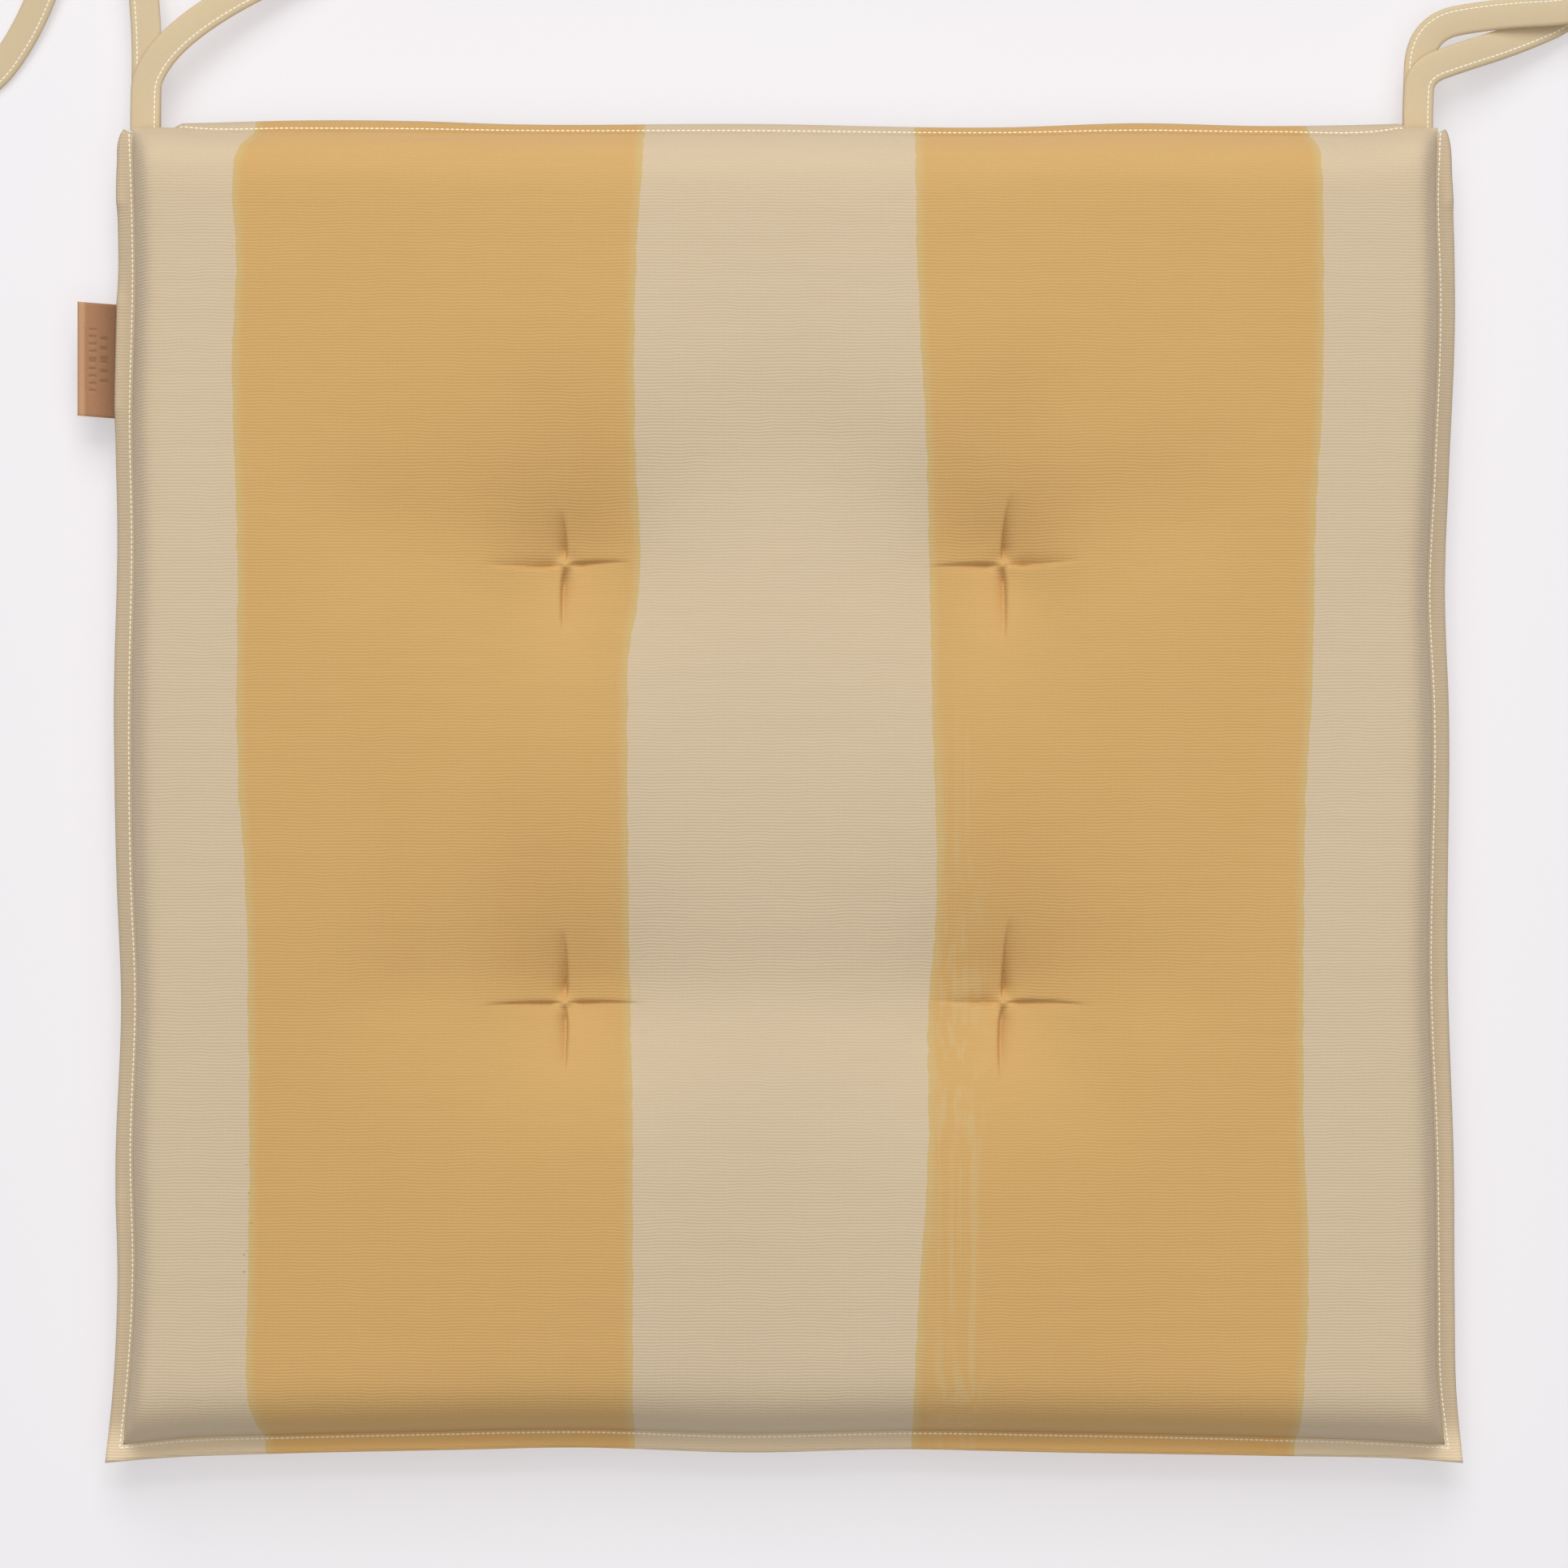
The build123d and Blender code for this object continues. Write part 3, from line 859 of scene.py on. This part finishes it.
def flange_ring():
    """The flange's section all the way round, and the lines that its two threads are sewn along."""
    stitches, rims = edge_loop(1, SIDE_SAMPLES), edge_loop(2, SIDE_SAMPLES)
    half = FLANGE_THICKNESS / 2
    rows, lines, ups, lower = [], [], [], []
    for stitch, rim in zip(stitches, rims):
        way = (rim - stitch) / np.hypot(*(rim - stitch))
        across, height = flange_section(stitch, rim, flange_length(*stitch))
        tuck = tuck_under(*stitch)
        stitch = stitch - np.array([0, TUCK_IN * tuck])
        height = height - TUCK_DOWN * tuck
        slope = np.gradient(height, across)
        tilt = np.arctan(slope)
        top = np.column_stack([across - half * np.sin(tilt), height + half * np.cos(tilt)])
        base = np.column_stack([across + half * np.sin(tilt), height - half * np.cos(tilt)])
        tip = FLANGE_NOSE * half
        nose = np.array([[across[-1] + tip * math.cos(tilt[-1]), height[-1] + tip * math.sin(tilt[-1])]])
        profile = np.concatenate([top, nose, base[::-1]])
        rows.append([(stitch[0] + way[0] * a, stitch[1] + way[1] * a, b) for a, b in profile])
        lines.append((*stitch, top[1, 1]))
        lower.append((*stitch, base[1, 1]))
        ups.append((0, 0, 1))
    return np.array(rows), np.array(lines), np.array(lower), np.array(ups, float)


def closed(points):
    return np.concatenate([points, points[:1]])


rows, stitch_line, under_line, stitch_ups = flange_ring()
profile_count = rows.shape[1]
faces = grid_faces(profile_count, rows.shape[0], closed=True)
flange = mesh_object("flange", rows.transpose(1, 0, 2).reshape(-1, 3), faces)
dress(flange, flange_canvas)

topstitch = stitch_row(
    "topstitch", closed(stitch_line), closed(stitch_ups), STITCH_LENGTH, 0.55 * MM, 0.5 * MM,
)
dress(topstitch, thread)
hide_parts("edge_topstitch")
bobbin = stitch_row(
    "bobbin_stitch", closed(under_line), -closed(stitch_ups), STITCH_LENGTH, 0.5 * MM, 0.45 * MM,
)
dress(bobbin, thread)
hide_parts("edge_bobbin_thread")

# ---------------------------------------------------------------------------------------
# What is inside the covers: wadding a little within both, and the foam within the wadding

FILLING_CELLS = 59
FILLING_DIMPLE_REACH = 14 * MM
LEAST_FILLING = 0.5 * MM


def filling(name, margin, top_gap, base_gap, dimple):
    """A closed body inside the covers: its margin at the seam, its gaps and its dimples at the tufts."""
    count = FILLING_CELLS + 1
    steps = steps_at(np.linspace(margin, 1 - margin, count))
    upper = refine(coarse_top, steps, steps)
    upper[:, :, 2] -= top_gap
    for x, y in tuft_points:
        away = np.hypot(upper[:, :, 0] - x, upper[:, :, 1] - y)
        upper[:, :, 2] -= dimple * np.exp(-((away / FILLING_DIMPLE_REACH) ** 2))
    lower = refine(bottom_surface(), steps, steps)
    lower[:, :, 2] += base_gap
    upper[:, :, 2] = np.maximum(upper[:, :, 2], lower[:, :, 2] + LEAST_FILLING)
    verts = np.concatenate([upper.reshape(-1, 3), lower.reshape(-1, 3)])
    faces = [tuple(q) for q in grid_faces(count, count)]
    faces += [tuple(q + count * count) for q in grid_faces(count, count, flip=True)]
    faces += rim_faces(count, count)
    return mesh_object(name, verts, faces)


stuffing = dress(filling("stuffing", 0.02, 2.5 * MM, 2 * MM, 8 * MM), wadding)
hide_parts("top_wadding", "bottom_wadding")
foam_slab = dress(filling("foam_slab", 0.05, 6 * MM, 5 * MM, 9 * MM), foam)
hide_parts("foam_core")

# ---------------------------------------------------------------------------------------
# The ties: flat folded canvas tape, one line of stitching near one edge

TIE_ROUTES = {
    "left_tie_inner": [
        (-0.191, 0.1955, 0.0124), (-0.191, 0.2026, 0.0124), (-0.1907, 0.212, 0.0124),
        (-0.1815, 0.224, 0.0124), (-0.163, 0.237, 0.0095), (-0.138, 0.249, 0.005),
        (-0.103, 0.255, 0.0008), (-0.066, 0.2485, 0.0008), (-0.028, 0.2555, 0.0008),
        (0.010, 0.2495, 0.0008), (0.034, 0.252, 0.0008),
    ],
    "left_tie_outer": [
        (-0.191, 0.1955, 0.0104), (-0.191, 0.2026, 0.0104), (-0.1906, 0.226, 0.0104),
        (-0.194, 0.256, 0.0085), (-0.216, 0.258, 0.006), (-0.226, 0.228, 0.003),
        (-0.243, 0.206, 0.0008), (-0.268, 0.210, 0.0008), (-0.2715, 0.236, 0.0008),
        (-0.255, 0.256, 0.0008), (-0.232, 0.2715, 0.0008), (-0.210, 0.274, 0.0008),
    ],
    "right_tie_inner": [
        (0.1896, 0.1955, 0.0124), (0.1896, 0.2026, 0.0124), (0.1902, 0.213, 0.0124),
        (0.203, 0.2175, 0.0124), (0.219, 0.223, 0.008), (0.239, 0.232, 0.004),
        (0.249, 0.251, 0.0015), (0.229, 0.261, 0.0008), (0.197, 0.256, 0.0008),
        (0.163, 0.261, 0.0008), (0.129, 0.255, 0.0008), (0.095, 0.260, 0.0008),
    ],
    "right_tie_outer": [
        (0.1896, 0.1955, 0.0104), (0.1896, 0.2026, 0.0104), (0.1906, 0.2265, 0.0104),
        (0.213, 0.2305, 0.0115), (0.240, 0.232, 0.009), (0.2605, 0.242, 0.0055),
        (0.261, 0.264, 0.003), (0.240, 0.2755, 0.0008), (0.207, 0.271, 0.0008),
        (0.172, 0.276, 0.0008), (0.132, 0.271, 0.0008),
    ],
}
TIE_WIDTH = 9 * MM
TIE_THICKNESS = 1.6 * MM
TIE_STITCH_SIDE = {"left_tie_inner": 1, "left_tie_outer": -1, "right_tie_inner": 1, "right_tie_outer": -1}
TIE_STITCH_AT = 2.8 * MM
# A tie's section, as shares of half its width and half its thickness
TIE_SECTION = [
    (-1, 0), (-0.93, 0.7), (-0.75, 1), (0, 1), (0.75, 1), (0.93, 0.7), (1, 0), (0.93, -0.7),
    (0.75, -1), (0, -1), (-0.75, -1), (-0.93, -0.7),
]


def route_points(name, points):
    """The smooth line that a tie follows, as points along a NURBS spline of its route."""
    curve = bpy.data.curves.new(f"{name}_route", "CURVE")
    curve.dimensions = "3D"
    curve.resolution_u = 20
    spline = curve.splines.new("NURBS")
    spline.points.add(len(points) - 1)
    for spot, place in zip(spline.points, points):
        spot.co = (*place, 1.0)
    spline.order_u = 3
    spline.use_endpoint_u = True
    carrier = bpy.data.objects.new(f"{name}_route", curve)
    bpy.context.scene.collection.objects.link(carrier)
    bpy.context.view_layer.update()
    mesh = bpy.data.meshes.new_from_object(carrier)
    line = np.array([v.co for v in mesh.vertices])
    bpy.data.objects.remove(carrier)
    bpy.data.meshes.remove(mesh)
    return line


def ribbon_frames(line):
    """Right and up directions at each point of a flat tie."""
    along = np.gradient(line, axis=0)
    along /= np.linalg.norm(along, axis=1)[:, None]
    right = np.cross(along, (0, 0, 1))
    right /= np.linalg.norm(right, axis=1)[:, None]
    return right, np.cross(right, along)


def tie_mesh(name, line):
    right, up = ribbon_frames(line)
    rows = []
    for wide, thick in TIE_SECTION:
        rows.append(line + right * (wide * TIE_WIDTH / 2) + up * (thick * TIE_THICKNESS / 2))
    verts = np.stack(rows, 1)
    count, around = verts.shape[:2]
    faces = [tuple(q) for q in grid_faces(count, around, closed=True, flip=True)]
    faces += [tuple(range(around)), tuple((count - 1) * around + k for k in range(around))[::-1]]
    return mesh_object(name, verts.reshape(-1, 3), faces)


def tie(name):
    """One tie: its tape and its row of stitches, which leave the pad."""
    route = TIE_ROUTES[name]
    line = route_points(name, route)
    right, up = ribbon_frames(line)
    tape = tie_mesh(f"{name}_tape", line)
    sewn = line + right * TIE_STITCH_SIDE[name] * TIE_STITCH_AT + up * TIE_THICKNESS / 2
    seam = stitch_row(f"{name}_seam", sewn, up, STITCH_LENGTH, 0.45 * MM, 0.4 * MM)
    for piece, material, slot in ((tape, tie_canvas, "tie_tape"), (seam, thread, "thread")):
        dress(piece, material, body=None)
        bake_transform(piece)
    fold = [f"{name.rsplit('_', 1)[0]}_fold"] if name.endswith("inner") else []
    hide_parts(name, *fold)
    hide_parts(f"{name}_stitch")


for name in TIE_ROUTES:
    tie(name)

# ---------------------------------------------------------------------------------------
# The folded leather label, with a plain pressed pattern of bars

LABEL_LOW, LABEL_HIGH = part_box("label")
LABEL_SKEW = 1.2 * MM
PRESS_DEPTH = 0.2 * MM
PATTERN_SHIFT = 0.6 * LABEL_SKEW
# The pressed line: distance in from the fold, half width and half length
PRESSED_LINE = (2.2 * MM, 0.25 * MM, 10 * MM)
# The rows of pressed bars: distance in from the fold, half length of the row and pitch
BAR_ROWS = [(4.6 * MM, 9.5 * MM, 2.2 * MM), (7.9 * MM, 7.5 * MM, 2.9 * MM)]
BAR_HALF_LENGTH = 1.1 * MM
BAR_SHARE = 0.36
LABEL_ROOT_X = -196 * MM
LABEL_OUT_STEPS, LABEL_LENGTH_STEPS = 56, 150
LEAST_HALF_THICKNESS = 0.02 * MM
LABEL_EDGE_DROP, LABEL_EDGE_REACH = 0.3 * MM, 0.6 * MM


def is_pressed(x, y):
    """Whether a point lies in the pressed pattern: one fine line and two rows of short bars."""
    inward = x - LABEL_LOW[0]
    along = abs(y - (LABEL_LOW[1] + LABEL_HIGH[1]) / 2 - PATTERN_SHIFT)
    if abs(inward - PRESSED_LINE[0]) < PRESSED_LINE[1]:
        return along < PRESSED_LINE[2]
    for middle, reach, pitch in BAR_ROWS:
        if abs(inward - middle) < BAR_HALF_LENGTH and along < reach:
            return along / pitch % 1 < BAR_SHARE
    return False


def label():
    """A bent strip: out over the top, round the fold at its outer end and back underneath."""
    root_x, tip_x = LABEL_ROOT_X, LABEL_LOW[0]
    thick = LABEL_HIGH[2] - LABEL_LOW[2]
    middle_z = (LABEL_HIGH[2] + LABEL_LOW[2]) / 2
    low_y, high_y = LABEL_LOW[1], LABEL_HIGH[1]
    outs, across = np.linspace(0, 1, LABEL_OUT_STEPS), np.linspace(0, 1, LABEL_LENGTH_STEPS)
    top, base, pressed = [], [], []
    for out in outs:
        x = root_x + (tip_x - root_x) * out
        edge = min(1.0, (1 - out) * abs(tip_x - root_x) / (thick / 2))
        half = thick / 2 * math.sqrt(max(1 - (1 - edge) ** 2, 0.0)) + LEAST_HALF_THICKNESS
        for share in across:
            y = low_y + (high_y - low_y) * share + LABEL_SKEW * out
            rim = min(share, 1 - share) * (high_y - low_y)
            soft = LABEL_EDGE_DROP * max(0.0, 1 - rim / LABEL_EDGE_REACH) ** 2
            pressed.append(is_pressed(x, y))
            top.append((x, y, middle_z + half - soft - PRESS_DEPTH * pressed[-1]))
            base.append((x, y, middle_z - half + soft))
    count, wide = len(outs), len(across)
    upper = grid_faces(count, wide, flip=True)
    faces = [tuple(q) for q in upper]
    faces += [tuple(q + count * wide) for q in grid_faces(count, wide)]
    faces += rim_faces(count, wide)
    strip = mesh_object("leather_label", top + base, faces)
    return strip, np.array(pressed)[upper].mean(axis=1) > 0.5


leather_label, pressed_faces = label()
dress(leather_label, leather, body=None)
leather_label.data.materials.append(pressed_leather)
for face in np.flatnonzero(pressed_faces):
    leather_label.data.polygons[int(face)].material_index = 1
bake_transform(leather_label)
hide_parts("label", "label_root_upper", "label_root_lower")

# ---------------------------------------------------------------------------------------
# The tuft threads keep their CAD shapes

for node in TUFTS:
    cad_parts[node].data.materials.clear()
    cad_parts[node].data.materials.append(thread)

# ---------------------------------------------------------------------------------------
# Floor, light and camera

bpy.ops.mesh.primitive_plane_add(size=14, location=(0, 0, 0))
floor = bpy.context.object
floor.name = "floor"
floor.data.materials.append(floor_material())


def area_light(name, place, aim, size, power, colour):
    lamp = bpy.data.lights.new(name, "AREA")
    lamp.shape = "SQUARE"
    lamp.size = size
    lamp.energy = power
    lamp.color = colour
    obj = bpy.data.objects.new(name, lamp)
    obj.location = place
    obj.rotation_euler = (Vector(aim) - Vector(place)).to_track_quat("-Z", "Y").to_euler()
    bpy.context.scene.collection.objects.link(obj)


area_light("key", (-0.1, 2.7, 2.85), (0, 0, 0), 2.3, 94, (1.0, 0.99, 0.97))
area_light("ceiling", (0, 0, 2.8), (0, 0, 0), 4.0, 50, (1.0, 1.0, 1.0))
world = bpy.data.worlds.new("studio")
world.use_nodes = True
world.node_tree.nodes["Background"].inputs["Color"].default_value = (1, 1, 1, 1)
world.node_tree.nodes["Background"].inputs["Strength"].default_value = 0.20
bpy.context.scene.world = world
bpy.context.scene.view_settings.view_transform = "Standard"

VIEW_WIDTH = 468.4 * MM
CAMERA_HEIGHT = 1.6
SENSOR_WIDTH = 36
lens = bpy.data.cameras.new("camera")
lens.sensor_width = SENSOR_WIDTH
lens.lens = SENSOR_WIDTH * CAMERA_HEIGHT / VIEW_WIDTH
camera = bpy.data.objects.new("camera", lens)
camera.location = (0, 0, SEAM_Z + CAMERA_HEIGHT)
bpy.context.scene.collection.objects.link(camera)
bpy.context.scene.camera = camera
